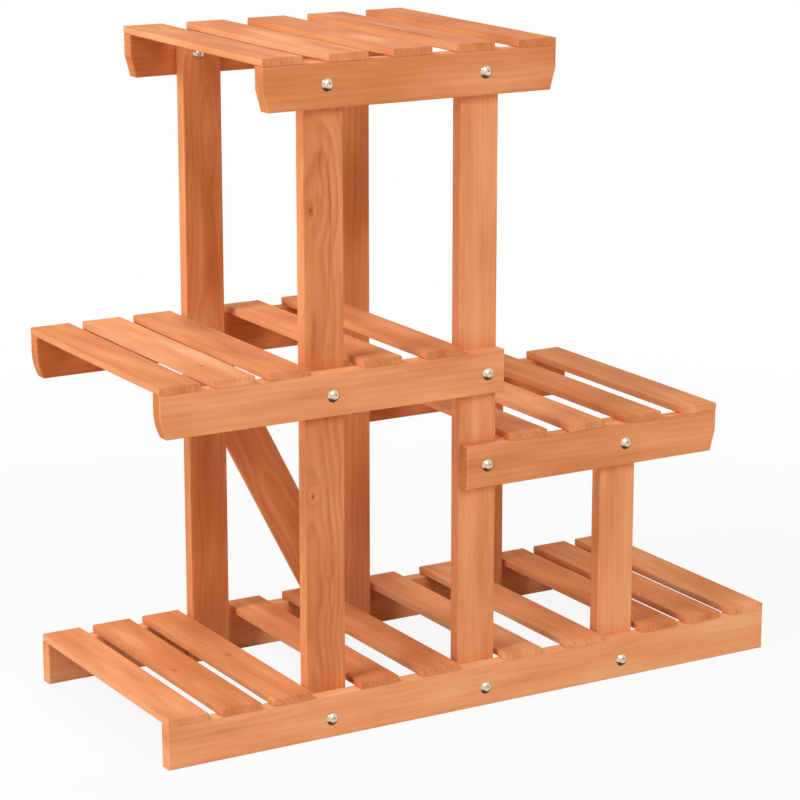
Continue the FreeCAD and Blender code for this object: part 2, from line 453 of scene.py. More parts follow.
@dataclass(frozen=True)
class Grain:
    """One kind of change in the wood, drawn out along it.

    Args:
        long: how many changes there are to a millimetre along the board.
        fine: how many there are to a millimetre across it and through it.
        strength: how far they move what they change.
        detail: how many finer layers they have.
    """

    long: float
    fine: float
    strength: float
    detail: float = 2.0

    def noise(self, nodes: Nodes, place: Place, shift: float) -> bpy.types.Node:
        """Adds the changes as noise.

        Args:
            nodes: the material's nodes.
            place: the place in the board.
            shift: the board's offset into the noise.

        Returns:
            The noise node.
        """
        along, across, through = place
        return nodes.noise(nodes.vector(nodes.math("MULTIPLY_ADD", along, self.long, shift),
                                        nodes.math("MULTIPLY", across, self.fine),
                                        nodes.math("MULTIPLY", through, self.fine)), self.detail)


@dataclass(frozen=True)
class StainedPine:
    """Softwood with an orange-tan stain under a thin satin lacquer.

    Every change of colour moves along one scale of stain, on which deeper wood is also more orange.

    Args:
        plain: the stain's plain colour.
        knot: the colour of a knot.
        deepening: how fast red, green and blue rise with the tone.
        deepest: the lowest tone on the scale.
        palest: the highest tone on it.
        stops: how many colours draw the scale.
        brightest: the most of any colour that the wood gives back.
        ring: the width of a year's growth, in millimetres.
        late_middle: how much late wood leaves the tone as it is.
        late_rise: the shares of a year between which late wood sets in.
        late_fall: the shares between which it stops.
        year_step: how far the noise moves from one year to the next.
        years: the range of that noise, and the late wood of the weakest and the strongest year.
        arched_drift: how the middle of the tree wanders in a flat-sawn board.
        straight_drift: how it wanders in any other board.
        tremor: how unsteady a ring is.
        offsets: how far into the noise a board may lie.
        fibres: the finest lines.
        flecks: short fine lines.
        streaks: long soft lines.
        mottle: soft patches where the stain sank in more.
        bend: how the outline of a placed patch wanders.
        patch_edge: where such a patch starts to fade and where it ends, in its own half size.
        facing: how squarely a surface has to face one way to start to count, and to count in full.
        side_figure: how much weaker the rings are on the narrow sides.
        end_figure: how much the rings add to the tone of the ends.
        knot_stretch: how much longer than wide a knot is.
        knot_push: how many rings a knot pushes aside.
        knot_reach: how far it does so, in its own radius.
        knot_edge: where its colour starts to fade and where it ends, in its own radius.
        halo_tone: how much paler the wood round a knot is.
        halo: where that starts to fade and where it ends, with how much shows at each.
        roughness: how matt the lacquer is.
        fibre_roughness: how much the fibres change that.
        end_roughness: how much more matt the ends are.
        specular: how much the lacquer mirrors.
        ring_height: how high late wood stands, beside a height of 1 for the fibres.
        relief: how much of the relief shows, and how deep it is in metres.
    """

    plain: tuple[int, int, int] = (225, 147, 97)
    knot: tuple[int, int, int] = (118, 56, 26)
    deepening: tuple[float, float, float] = (0.38, 0.67, 0.99)
    deepest: float = -3.0
    palest: float = 1.5
    stops: int = 9
    brightest: float = 0.93
    ring: float = 5.4
    late_middle: float = 0.4
    late_rise: tuple[float, float] = (0.05, 0.72)
    late_fall: tuple[float, float] = (0.74, 1.0)
    year_step: float = 0.73
    years: tuple[float, float, float, float] = (0.25, 0.7, 0.35, 1.0)
    arched_drift: Grain = Grain(0.0095, 0.014, 22.0, 1.0)
    straight_drift: Grain = Grain(0.0065, 0.014, 8.0, 1.0)
    tremor: Grain = Grain(0.02, 0.09, 2.4, 1.0)
    offsets: tuple[float, float] = (100, 900)
    fibres: Grain = Grain(0.03, 0.9, 0.1)
    flecks: Grain = Grain(0.024, 0.38, 0.32)
    streaks: Grain = Grain(0.0085, 0.062, 1.05)
    mottle: Grain = Grain(0.0075, 0.028, 0.7, 2.5)
    bend: Grain = Grain(0.025, 0.05, 14.0, 1.0)
    patch_edge: tuple[float, float] = (0.35, 1.0)
    facing: tuple[float, float] = (0.75, 0.95)
    side_figure: float = 0.5
    end_figure: float = -0.12
    knot_stretch: float = 1.9
    knot_push: float = 1.1
    knot_reach: float = 8.0
    knot_edge: tuple[float, float] = (0.3, 1.2)
    halo_tone: float = -0.8
    halo: tuple[float, float, float, float] = (0.8, 3.0, 0.5, 0.0)
    roughness: float = 0.58
    fibre_roughness: float = 0.14
    end_roughness: float = 0.12
    specular: float = 0.02
    ring_height: float = 0.4
    relief: tuple[float, float] = (0.3, 0.1 * MM)

    def stain(self, nodes: Nodes, tone: Feed) -> Socket:
        """Turns a tone into the stain's colour.

        Args:
            nodes: the material's nodes.
            tone: 0 is the plain colour, and lower is deeper.

        Returns:
            The colour's socket.
        """
        span = self.palest - self.deepest
        share_of_scale = nodes.math("MULTIPLY_ADD", tone, 1 / span, -self.deepest / span)
        ramp = nodes.add("ValToRGB", {0: share_of_scale})
        stops = ramp.color_ramp.elements
        while len(stops) < self.stops:
            stops.new(0.5)
        for number, stop in enumerate(stops):
            share = number / (self.stops - 1)
            tone_here = self.deepest + share * span
            stop.position = share
            stop.color = [min(self.brightest, channel * math.exp(rate * tone_here))
                          for channel, rate in zip(linear(*self.plain), self.deepening)] + [1.0]
        return ramp.outputs[0]

    def make(self, name: str, centre: Vector, turn: Euler, cut: Cut) -> bpy.types.Material:
        """Makes the material of one board.

        Args:
            name: the board's name, which also seeds its figure.
            centre: the middle of the board, in metres.
            turn: the rotation that lays X along the board and Y across it.
            cut: what the board shows of its wood.

        Returns:
            The material.
        """
        dice = random.Random(name)
        nodes = Nodes(bpy.data.materials.new("pine_" + name))
        space = nodes.add("TexCoord")
        spot = nodes.add("Mapping", vector_type="TEXTURE", inputs={
            "Vector": space.outputs["Object"], "Location": centre, "Rotation": turn,
            "Scale": (MM, MM, MM)})
        place = nodes.parts(spot.outputs[0])
        shift = dice.uniform(*self.offsets)
        heart = cut.heart or Heart.by_chance(cut.sawn, dice)

        rings, ripple = self._rings(nodes, place, shift, cut, heart)
        ends = self._facing(nodes, space, turn, Vector((1, 0, 0)))
        sides = self._facing(nodes, space, turn, Vector((0, 1, 0)))
        figure = nodes.math("MULTIPLY_ADD", sides, self.side_figure * cut.figure, -cut.figure)
        # Painted light: the narrow sides are made paler, standing in for the light from the left
        # that falls on them.
        tone = nodes.math("MULTIPLY_ADD", sides, cut.painted_side_light, cut.tone.value)
        tone = nodes.sway(tone, rings, figure, self.late_middle)
        fibre = self.fibres.noise(nodes, place, shift).outputs[0]
        tone = nodes.sway(tone, fibre, self.fibres.strength)
        for kind, times in ((self.flecks, 2), (self.streaks, -1), (self.mottle, -1)):
            number = kind.noise(nodes, place, times * shift).outputs[0]
            tone = nodes.sway(tone, number, kind.strength)
        tone = self._patches(nodes, tone, place, shift, cut.patches)
        at_ends = nodes.sway(cut.end_tone, rings, self.end_figure)
        tone = nodes.math("MULTIPLY_ADD", ends, at_ends, tone)
        colour = self._stain_knots(nodes, self.stain(nodes, tone), tone, place, cut.knots)

        rough = nodes.sway(self.roughness, fibre, self.fibre_roughness)
        height = nodes.math("ADD", fibre, ripple)
        height = nodes.math("MULTIPLY_ADD", rings, self.ring_height, height)
        shader = nodes.add("BsdfPrincipled", {
            "Base Color": colour,
            "Roughness": nodes.math("MULTIPLY_ADD", ends, self.end_roughness, rough),
            "Specular IOR Level": self.specular,
            "Normal": nodes.relief(height, *self.relief),
        })
        return nodes.finish(shader.outputs[0])

    def _rings(self, nodes: Nodes, place: Place, shift: float, cut: Cut,
               heart: Heart) -> tuple[Socket, Socket]:
        """Cuts the tree's rings through the board.

        Args:
            nodes: the material's nodes.
            place: the place in the board.
            shift: the board's offset into the noise.
            cut: what the board shows, with the knots that push its rings aside.
            heart: where the middle of the tree lay.

        Returns:
            How much late wood shows, from 0 to 1, and a gentle ripple for the relief.
        """
        along, across, through = place
        kind = self.arched_drift if cut.sawn is Sawn.FLAT else self.straight_drift
        drift = kind.noise(nodes, place, shift).outputs[1]
        drift_across, drift_below, ripple = nodes.parts(drift)
        side = nodes.math("MULTIPLY_ADD", along, heart.lean_across, heart.across)
        side = nodes.sway(nodes.math("ADD", across, side), drift_across, kind.strength)
        depth = nodes.math("MULTIPLY_ADD", along, heart.lean_below, heart.below)
        depth = nodes.sway(nodes.math("ADD", through, depth), drift_below, kind.strength)
        tremor = self.tremor.noise(nodes, place, shift).outputs[0]
        reach = nodes.sway(nodes.reach(side, depth), tremor, self.tremor.strength)
        for knot in cut.knots:
            near = self._near(nodes, place, knot)
            push = nodes.ramp(near, 0.0, self.knot_reach, self.ring * self.knot_push, 0.0)
            reach = nodes.math("ADD", reach, push)
        count = nodes.math("DIVIDE", reach, self.ring)
        share = nodes.math("FRACT", count)
        late = nodes.math("MULTIPLY", nodes.ramp(share, *self.late_rise),
                          nodes.ramp(share, *self.late_fall, 1.0, 0.0))
        year = nodes.math("MULTIPLY", nodes.math("FLOOR", count), self.year_step)
        chance = nodes.noise(nodes.vector(year, shift, 0.0), 0.0).outputs[0]
        return nodes.math("MULTIPLY", late, nodes.ramp(chance, *self.years)), ripple

    def _near(self, nodes: Nodes, place: Place, knot: Knot) -> Socket:
        """Finds how far a place is from a knot, whose outline is drawn out along the grain.

        Args:
            nodes: the material's nodes.
            place: the place in the board.
            knot: the knot.

        Returns:
            The distance, counted in the knot's own radius.
        """
        half = (knot.radius * self.knot_stretch, knot.radius)
        return nodes.oval(place[:2], (knot.along, knot.across), half)

    def _patches(self, nodes: Nodes, tone: Feed, place: Place, shift: float,
                 patches: tuple[Patch, ...]) -> Feed:
        """Makes the wood paler or deeper in soft patches with a wandering outline: stain, and
        painted shade on the back posts.

        Args:
            nodes: the material's nodes.
            tone: the wood's tone so far.
            place: the place in the board.
            shift: the board's offset into the noise.
            patches: the patches.

        Returns:
            The tone with its patches.
        """
        if not patches:
            return tone
        along, across, _ = place
        bend = self.bend.noise(nodes, (along, across, 0.0), shift).outputs[0]
        bent = nodes.sway(across, bend, self.bend.strength)
        for patch in patches:
            half = (patch.length, patch.width)
            away = nodes.oval((along, bent), (patch.along, patch.across), half)
            tone = nodes.math("ADD", tone, nodes.ramp(away, *self.patch_edge, patch.tone, 0.0))
        return tone

    def _stain_knots(self, nodes: Nodes, colour: Feed, tone: Feed, place: Place,
                     knots: tuple[Knot, ...]) -> Feed:
        """Darkens the wood inside each knot, and a little round it.

        Args:
            nodes: the material's nodes.
            colour: the wood's colour so far.
            tone: its tone.
            place: the place in the board.
            knots: the knots.

        Returns:
            The colour with its knots.
        """
        for knot in knots:
            near = self._near(nodes, place, knot)
            halo = self.stain(nodes, nodes.math("ADD", tone, self.halo_tone))
            colour = nodes.blend(nodes.ramp(near, *self.halo), colour, halo)
            inside = nodes.ramp(near, *self.knot_edge, knot.depth, 0.0)
            colour = nodes.blend(inside, colour, linear(*self.knot))
        return colour

    def _facing(self, nodes: Nodes, space: bpy.types.Node, turn: Euler, way: Vector) -> Socket:
        """Finds the surfaces that face along one of the board's own directions.

        Args:
            nodes: the material's nodes.
            space: the Texture Coordinate node.
            turn: the rotation that lays X along the board and Y across it.
            way: the direction, in the board's own terms.

        Returns:
            1 on those surfaces and 0 on the others.
        """
        turned = way.copy()
        turned.rotate(turn)
        dot = nodes.add("VectorMath", {0: space.outputs["Normal"], 1: turned},
                        operation="DOT_PRODUCT")
        return nodes.ramp(nodes.math("ABSOLUTE", dot.outputs["Value"]), *self.facing)


@dataclass
class Board:
    """One wooden piece of the frame, dressed where it is.

    Args:
        node: the piece's name.
        run: which way it lies.
        cut: what it shows of its wood.
    """

    node: str
    run: Run
    cut: Cut

    def slope(self) -> float:
        """Measures how far the brace leans from upright, from the middles of its two ends.

        Returns:
            The angle, in radians.
        """
        points = [vertex.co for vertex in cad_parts[self.node].data.vertices]
        low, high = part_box(self.node)
        feet = [point.x for point in points if point.z - low.z < MM]
        heads = [point.x for point in points if high.z - point.z < MM]
        run = (max(heads) + min(heads)) / 2 - (max(feet) + min(feet)) / 2
        return math.atan2(run, high.z - low.z)

    def turn(self) -> Euler:
        """Finds how the board is turned.

        Returns:
            The rotation that lays X along the board and Y across it.
        """
        quarter = math.pi / 2
        if self.run is Run.ALONG_STAND:
            return Euler((quarter, 0, 0))
        if self.run is Run.ACROSS_STAND:
            return Euler((0, 0, quarter))
        if self.run is Run.UPRIGHT:
            return Euler((quarter, -quarter, 0))
        return Euler((quarter, self.slope() - quarter, 0))

    def dress(self, finish: StainedPine) -> None:
        """Gives the board its wood.

        Args:
            finish: the wood.
        """
        low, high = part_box(self.node)
        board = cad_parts[self.node]
        wood = finish.make(self.node, (low + high) / 2, self.turn(), self.cut)
        board.data.materials.clear()
        board.data.materials.append(wood)
        log.info("%s: %s, %s", self.node, self.run.value, self.cut.sawn.value)


# ---------------------------------------------------------------------------
# Metal
# ---------------------------------------------------------------------------
@dataclass(frozen=True)
class CoatedSteel:
    """Steel under a thin coat with fine marks.

    Args:
        colour: the coat's colour.
        mark: its colour in the marks.
        fine: how many marks there are to a metre.
        detail: how many finer layers they have.
        marks: the range of the noise over which marks set in, with how much shows at each end.
        matt: the range over which the coat gets more matt, with how matt it is at each end.
        metallic: 1 where the coat is metal itself, and 0 elsewhere.
        relief: how much of the marks' relief shows and how deep it is in metres, or None.
    """

    colour: tuple[int, int, int]
    mark: tuple[int, int, int]
    fine: float
    detail: float
    marks: tuple[float, float, float, float]
    matt: tuple[float, float, float, float]
    metallic: float = 0.0
    relief: tuple[float, float] | None = None

    def make(self, name: str) -> bpy.types.Material:
        """Makes the material.

        Args:
            name: its name.

        Returns:
            The material.
        """
        nodes = Nodes(bpy.data.materials.new(name))
        noise = nodes.speckle(self.fine, self.detail)
        shown = nodes.ramp(noise, *self.marks)
        inputs = {
            "Base Color": nodes.blend(shown, linear(*self.colour), linear(*self.mark)),
            "Metallic": self.metallic,
            "Roughness": nodes.ramp(noise, *self.matt),
        }
        if self.relief:
            inputs["Normal"] = nodes.relief(noise, *self.relief)
        return nodes.finish(nodes.add("BsdfPrincipled", inputs).outputs[0])


#: Bright nickel plate with faint wear.
PLATED_STEEL = CoatedSteel((218, 202, 180), (150, 140, 128), 900.0, 3.0, (0.45, 0.75, 0.0, 0.35),
                           (0.3, 0.8, 0.16, 0.3), metallic=1.0, relief=(0.08, 0.05 * MM))
#: Brad wire that the stain has covered.
STAINED_STEEL = CoatedSteel((196, 120, 78), (150, 84, 50), 1500.0, 2.0, (0.4, 0.7, 0.0, 1.0),
                            (0.3, 0.7, 0.5, 0.65))


@dataclass
class Fastener:
    """A turned metal piece: a domed head with a hexagon socket, and its shank.

    Args:
        radius: the head's radius, in metres.
        height: the head's height.
        shank: the shank's radius.
        length: the shank's length under the head.
        rim: the height of the head's upright edge.
        edge: how far the head's lower edge and the socket's mouth are broken.
        socket: from the middle of the socket to the middle of one of its sides.
        mouth: the radius of the round recess in which it starts, in sizes of the socket.
        draft: its size at the floor, in sizes of the socket.
        socket_depth: how far its floor is below the dome's top.
        socket_point: how much deeper the middle of the floor is.
        tip: the radius of the shank's end, in radii of the shank.
        taper: the length over which it narrows to that, in radii of the shank.
        steps: how many sides the round parts have.
        dome_steps: how many rings the dome has.
    """

    radius: float
    height: float
    shank: float
    length: float
    rim: float = 0.5 * MM
    edge: float = 0.12 * MM
    socket: float = 2.15 * MM
    mouth: float = 1.28
    draft: float = 0.97
    socket_depth: float = 1.9 * MM
    socket_point: float = 0.4 * MM
    tip: float = 0.6
    taper: float = 0.4
    steps: int = 48
    dome_steps: int = 10

    def hexagon(self, angle: float, reach: float) -> float:
        """Measures how far the side of a hexagon is in one direction.

        Args:
            angle: the direction, in radians.
            reach: from its middle to the middle of a side.

        Returns:
            The distance.
        """
        sixth = math.pi / 3
        return reach / math.cos((angle + sixth / 2) % sixth - sixth / 2)

    def profile(self) -> list[tuple[float, float]]:
        """Draws the round part of the outline, from the shank's tip to the socket's mouth.

        Returns:
            Its points, as radius and height.
        """
        rise = self.height - self.rim
        ball = (self.radius ** 2 + rise ** 2) / (2 * rise)
        first = math.asin(self.radius / ball)
        last = math.asin(self.socket * self.mouth / ball)
        points = [(self.tip * self.shank, -self.length),
                  (self.shank, -self.length + self.taper * self.shank), (self.shank, 0.0),
                  (self.radius - self.edge, 0.0), (self.radius, self.edge), (self.radius, self.rim)]
        for step in range(1, self.dome_steps + 1):
            turn = first + (last - first) * step / self.dome_steps
            points.append((ball * math.sin(turn), self.height - ball * (1 - math.cos(turn))))
        return points

    def mesh(self, target: bmesh.types.BMesh, place: Vector, outward: Vector) -> None:
        """Adds the piece to a mesh.

        Args:
            target: the mesh under construction.
            place: where its head sits.
            outward: the way its head points.
        """
        turn = outward.to_track_quat("Z", "X").to_matrix()
        outline = self.profile()
        floor = self.height - self.socket_depth

        def ring(reach: Callable[[float], float], height: float) -> list[bmesh.types.BMVert]:
            """Makes one ring of points.

            Args:
                reach: gives the ring's radius in each direction.
                height: how high it is.

            Returns:
                The points.
            """
            points = []
            for step in range(self.steps):
                angle = 2 * math.pi * step / self.steps
                out = reach(angle)
                spot = Vector((out * math.cos(angle), out * math.sin(angle), height))
                points.append(target.verts.new(place + turn @ spot))
            return points

        rings = [ring(lambda angle, reach=reach: reach, height) for reach, height in outline]
        for reach, height in ((self.socket, outline[-1][1] - self.edge),
                              (self.socket * self.draft, floor)):
            rings.append(ring(lambda angle, reach=reach: self.hexagon(angle, reach), height))
        for lower, upper in zip(rings, rings[1:]):
            for step in range(self.steps):
                after = (step + 1) % self.steps
                wall = target.faces.new((lower[step], lower[after], upper[after], upper[step]))
                wall.smooth = True
        for loop, depth in ((rings[0][::-1], -self.length), (rings[-1], floor - self.socket_point)):
            middle = target.verts.new(place + turn @ Vector((0, 0, depth)))
            for step in range(self.steps):
                target.faces.new((loop[step], loop[(step + 1) % self.steps], middle))


@dataclass
class Hardware:
    """All the bolts and sleeve nuts, each kind one piece that stands for its node.

    Args:
        finish: their finish.
        head: the height of their heads.
        shanks: the radius of each kind's shank, by the name of its node.
        nuts: the kind whose heads point inwards.
        weld: how close two corners of a solid are that are one.
        places: how many decimals of a metre put the solids in order.
    """

    finish: CoatedSteel = PLATED_STEEL
    head: float = 3.2 * MM
    shanks: tuple[tuple[str, float], ...] = (
        ("frame_bolts", 2.95 * MM), ("brace_bolts", 2.95 * MM), ("sleeve_nuts", 4.0 * MM))
    nuts: str = "sleeve_nuts"
    weld: float = 0.001 * MM
    places: int = 4

    def islands(self, node: str) -> list[tuple[Vector, Vector]]:
        """Finds the separate solids of a node.

        Args:
            node: the node's name.

        Returns:
            The lowest and highest corner of each.
        """
        mesh = bmesh.new()
        mesh.from_mesh(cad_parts[node].data)
        bmesh.ops.remove_doubles(mesh, verts=mesh.verts, dist=self.weld)
        left = set(mesh.verts)
        boxes = []
        while left:
            seen = {left.pop()}
            to_follow = list(seen)
            while to_follow:
                for edge in to_follow.pop().link_edges:
                    new = set(edge.verts) - seen
                    seen |= new
                    to_follow.extend(new)
            left -= seen
            spread = [[vertex.co[axis] for vertex in seen] for axis in range(3)]
            boxes.append((Vector(map(min, spread)), Vector(map(max, spread))))
        mesh.free()
        return sorted(boxes, key=lambda box: tuple(round(value, self.places) for value in box[0]))

    def build(self) -> None:
        """Makes every kind of fastener over its node."""
        plate = self.finish.make("plated_steel")
        for kind, shank in self.shanks:
            mesh = bmesh.new()
            boxes = self.islands(kind)
            for low, high in boxes:
                self.place(mesh, low, high, shank, inwards=kind == self.nuts)
            data = bpy.data.meshes.new(kind + "_turned")
            mesh.normal_update()
            mesh.to_mesh(data)
            mesh.free()
            piece = bpy.data.objects.new(kind + "_turned", data)
            bpy.context.scene.collection.objects.link(piece)
            data.materials.append(plate)
            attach(piece, BODY)
            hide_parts(kind)
            log.info("%s: %d turned pieces", piece.name, len(boxes))

    def place(self, mesh: bmesh.types.BMesh, low: Vector, high: Vector, shank: float,
              inwards: bool) -> None:
        """Sets one fastener into the box that its solid holds.

        Args:
            mesh: the mesh under construction.
            low: the box's lowest corner.
            high: its highest corner.
            shank: the shank's radius.
            inwards: whether its head points to the middle of the stand.
        """
        middle = (low + high) / 2
        to_front = (middle.y < 0) != inwards
        outward = Vector((0, -1 if to_front else 1, 0))
        seat = low.y + self.head if to_front else high.y - self.head
        length = high.y - low.y - self.head
        fastener = Fastener((high.x - low.x) / 2, self.head, shank, length)
        fastener.mesh(mesh, Vector((middle.x, seat, middle.z)), outward)


# ---------------------------------------------------------------------------
# Sub-assemblies
# ---------------------------------------------------------------------------
@dataclass
class Shelf:
    """One shelf: its two rails, its slats and its brads.

    Args:
        name: how the names of its nodes start.
        rails: what the front and the back rail show.
        slats: what each slat shows, from left to right.
        wood: the finish of its boards.
    """

    name: str
    rails: tuple[Cut, Cut]
    slats: tuple[Cut, ...]
    wood: StainedPine = StainedPine()

    def dress(self, brad_finish: bpy.types.Material) -> None:
        """Dresses the rails, the slats and the brads.

        Args:
            brad_finish: the material of the brads.
        """
        for side, cut in zip(("front", "back"), self.rails):
            Board("%s_%s_rail" % (self.name, side), Run.ALONG_STAND, cut).dress(self.wood)
        for number, cut in enumerate(self.slats, start=1):
            Board("%s_slat_%02d" % (self.name, number), Run.ACROSS_STAND, cut).dress(self.wood)
        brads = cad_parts[self.name + "_brads"]
        brads.data.materials.clear()
        brads.data.materials.append(brad_finish)
        log.info("%s: brads", self.name)


@dataclass
class Uprights:
    """The six posts and the brace.

    Args:
        posts: what each post shows, by its name.
        brace: what the brace shows.
        wood: the finish of its boards.
    """

    posts: dict[str, Cut]
    brace: Cut
    wood: StainedPine = StainedPine()

    def dress(self) -> None:
        """Dresses every post and the brace."""
        for post, cut in self.posts.items():
            Board(post + "_post", Run.UPRIGHT, cut).dress(self.wood)
        Board("back_brace", Run.SLOPING, self.brace).dress(self.wood)


def bottom_shelf() -> Shelf:
    """Describes the long shelf at the floor.

    Returns:
        The shelf, with ten slats.
    """
    # Painted light: the back rail's pale tone lightens it where it lies in shade under the slats.
    return Shelf("bottom", (Cut(Sawn.RIFT, Tone.PALE), Cut(Sawn.QUARTER, Tone.PALE)), (
        Cut(Sawn.QUARTER, Tone.LIGHT, patches=(Patch(-90.0, 2.0, 65.0, 22.0, 0.22),)),
        Cut(Sawn.QUARTER, Tone.WARM, knots=(Knot(-22.0, 10.0, 1.6, 0.3),),
            patches=(Patch(83.0, 8.0, 50.0, 11.0, 0.34), Patch(-86.0, 2.0, 40.0, 15.0, 0.25))),
        Cut(Sawn.RIFT, Tone.PLAIN, knots=(Knot(-8.0, -1.0, 1.6, 0.3),)),
        Cut(Sawn.QUARTER, Tone.WARM), Cut(Sawn.RIFT),
        Cut(Sawn.QUARTER, Tone.PALE), Cut(Sawn.RIFT, Tone.PALE),
        Cut(Sawn.QUARTER, Tone.WARM), Cut(Sawn.RIFT), Cut(Sawn.QUARTER, Tone.PALE),
    ))


def left_shelf() -> Shelf:
    """Describes the shelf at the left.

    Returns:
        The shelf, with five slats.
    """
    return Shelf("left_shelf", (
        # The back rail's very dark tone is painted shade under the slats; its ends, which catch the
        # light, get a pale end tone as painted light.
        Cut(Sawn.RIFT, Tone.LIGHT, end_tone=-0.5), Cut(Sawn.QUARTER, Tone.PAINTED_SHADE, end_tone=0.4),
    ), (
        Cut(Sawn.QUARTER, Tone.MILD, knots=(Knot(-109.0, -27.0, 1.7, 0.3),)),
        Cut(Sawn.QUARTER, Tone.PALE, knots=(Knot(-88.0, 4.0, 1.8, 0.35),),
            patches=(Patch(-43.0, -10.0, 120.0, 13.0, 0.42),)),
        Cut(Sawn.RIFT, patches=(Patch(14.0, 10.0, 75.0, 12.0, 0.3),)),
        Cut(Sawn.RIFT, Tone.MILD), Cut(Sawn.QUARTER, Tone.WARM),
    ))


def right_shelf() -> Shelf:
    """Describes the lower shelf at the right.

    Returns:
        The shelf, with four slats.
    """
    return Shelf("right_shelf", (Cut(Sawn.RIFT, end_tone=-0.45), Cut(Sawn.QUARTER, Tone.WARM)), (
        Cut(Sawn.RIFT, Tone.WARM), Cut(Sawn.QUARTER, Tone.LIGHT),
        Cut(Sawn.RIFT, Tone.WARM), Cut(Sawn.QUARTER, Tone.LIGHT),
    ))


def top_shelf() -> Shelf:
    """Describes the highest shelf.

    Returns:
        The shelf, with five slats whose narrow sides get more painted light than on the others.
    """
    # Painted light: these slats' narrow sides are made paler still.
    top_side_light = 0.55
    slats = (
        Cut(Sawn.QUARTER, Tone.WARM, patches=(Patch(-35.0, -8.0, 70.0, 14.0, 0.3),)),
        Cut(Sawn.RIFT,
            patches=(Patch(8.0, -3.0, 70.0, 14.0, 0.3), Patch(-115.0, -13.0, 45.0, 9.0, 0.3))),
        Cut(Sawn.QUARTER, Tone.WARM,
            patches=(Patch(-61.0, 1.0, 50.0, 16.0, 0.35), Patch(42.0, -12.0, 35.0, 9.0, 0.25))),
        Cut(Sawn.QUARTER, Tone.WARM, patches=(Patch(-31.0, 12.0, 115.0, 7.0, -0.55),)),
        Cut(Sawn.RIFT, Tone.DEEP),
    )
    # The back rail's very dark tone is painted shade under the slats; its ends, which catch the
    # light, get a pale end tone as painted light.
    rails = (Cut(Sawn.RIFT, Tone.MILD), Cut(Sawn.QUARTER, Tone.PAINTED_SHADE, end_tone=0.3))
    return Shelf("top_shelf", rails, tuple(replace(slat, painted_side_light=top_side_light) for slat in slats))


def uprights() -> Uprights:
    """Describes the posts and the brace.

    Returns:
        The uprights, with each post under its name.
    """
    front_left = Cut(
        Sawn.FLAT, Tone.WARM, 0.35, painted_side_light=0.38,
        knots=(Knot(192.3, 14.0, 1.3), Knot(-89.1, 14.0, 1.3)),
        heart=Heart(-12.0, 15.0, 0.006, 0.045),
        patches=(Patch(170.0, -7.0, 125.0, 2.6, -0.4), Patch(225.0, 2.0, 50.0, 2.4, -0.35),
                 Patch(70.0, 13.0, 36.0, 5.0, -0.35), Patch(-150.0, -4.0, 110.0, 2.6, -0.3)))
    # Painted shade: both patches darken the post where it lies in shade behind the shelves.
    back_left = Cut(
        Sawn.FLAT, Tone.WARM, 0.28, painted_side_light=0.42,
        patches=(Patch(-210.0, 0.0, 150.0, 30.0, -0.2), Patch(150.0, -9.0, 110.0, 14.0, -0.22)))
    # Painted shade: the patch darkens the post across its full width where it lies in shade behind
    # the shelves.
    back_middle = Cut(Sawn.RIFT, Tone.PLAIN, 0.25, painted_side_light=0.0,
                      patches=(Patch(150.0, 0.0, 70.0, 34.0, -0.4),))
    # Painted light: only the left posts, whose narrow sides catch the light from the left, get
    # paler sides; the shaded posts get none.
    return Uprights({
        "front_left": front_left,
        "front_middle": Cut(Sawn.QUARTER, Tone.LIGHT, painted_side_light=0.0),
        "front_right": Cut(Sawn.RIFT, Tone.PALE, painted_side_light=0.0),
        "back_left": back_left,
        "back_middle": back_middle,
        "back_right": Cut(Sawn.RIFT, painted_side_light=0.0),
    }, brace=Cut(Sawn.FLAT, Tone.PLAIN, 0.3))


# ---------------------------------------------------------------------------
# Studio
# ---------------------------------------------------------------------------
@dataclass
class Lamp:
    """A square soft lamp that points at the stand.

    Args:
        name: its name.
        place: where it is, in metres.
        size: the length of its side.
        power: its power in watts.
    """

    name: str
    place: tuple[float, float, float]
    size: float
    power: float

    def build(self, aim: Vector) -> None:
        """Makes the lamp.

        Args:
            aim: what it points at.
        """
        data = bpy.data.lights.new(self.name, "AREA")
        data.size = self.size
        data.energy = self.power
        lamp = bpy.data.objects.new(self.name, data)
        lamp.location = self.place
        lamp.rotation_euler = (aim - lamp.location).to_track_quat("-Z", "Y").to_euler()
        bpy.context.scene.collection.objects.link(lamp)
        log.info("%s: %.0f W", self.name, self.power)


